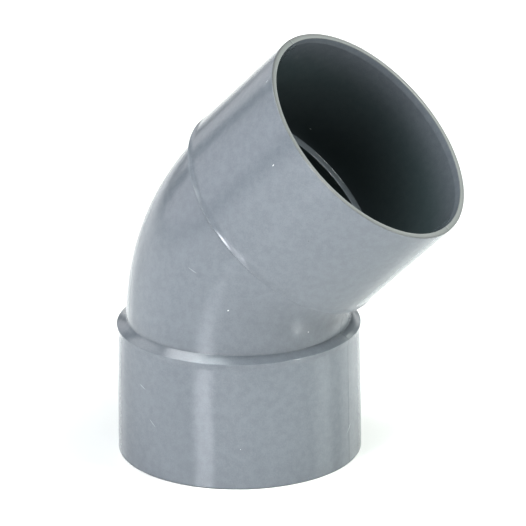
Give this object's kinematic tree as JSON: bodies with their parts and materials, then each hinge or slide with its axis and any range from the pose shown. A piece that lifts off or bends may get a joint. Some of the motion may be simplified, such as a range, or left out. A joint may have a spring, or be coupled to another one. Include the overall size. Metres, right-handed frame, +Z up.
{
  "type": "pvc elbow fitting",
  "caption": "45 degree grey PVC-U elbow with a plain solvent-weld socket at each end, for joining 110 mm irrigation pipe.",
  "frame": {"origin": "on the ground under the middle of the fitting's bounding box, in the plane of the lower socket's rim", "axes": "+Z up along the lower socket's axis, +X towards the side the upper socket leans to; the XZ plane is the plane of symmetry"},
  "size_m": [0.1688, 0.117, 0.2086],
  "materials": {
    "grey_pvc": "satin"
  },
  "bodies": {
    "root": {"bend": "grey_pvc", "lower_socket": "grey_pvc", "upper_socket": "grey_pvc"}
  },
  "joints": []
}
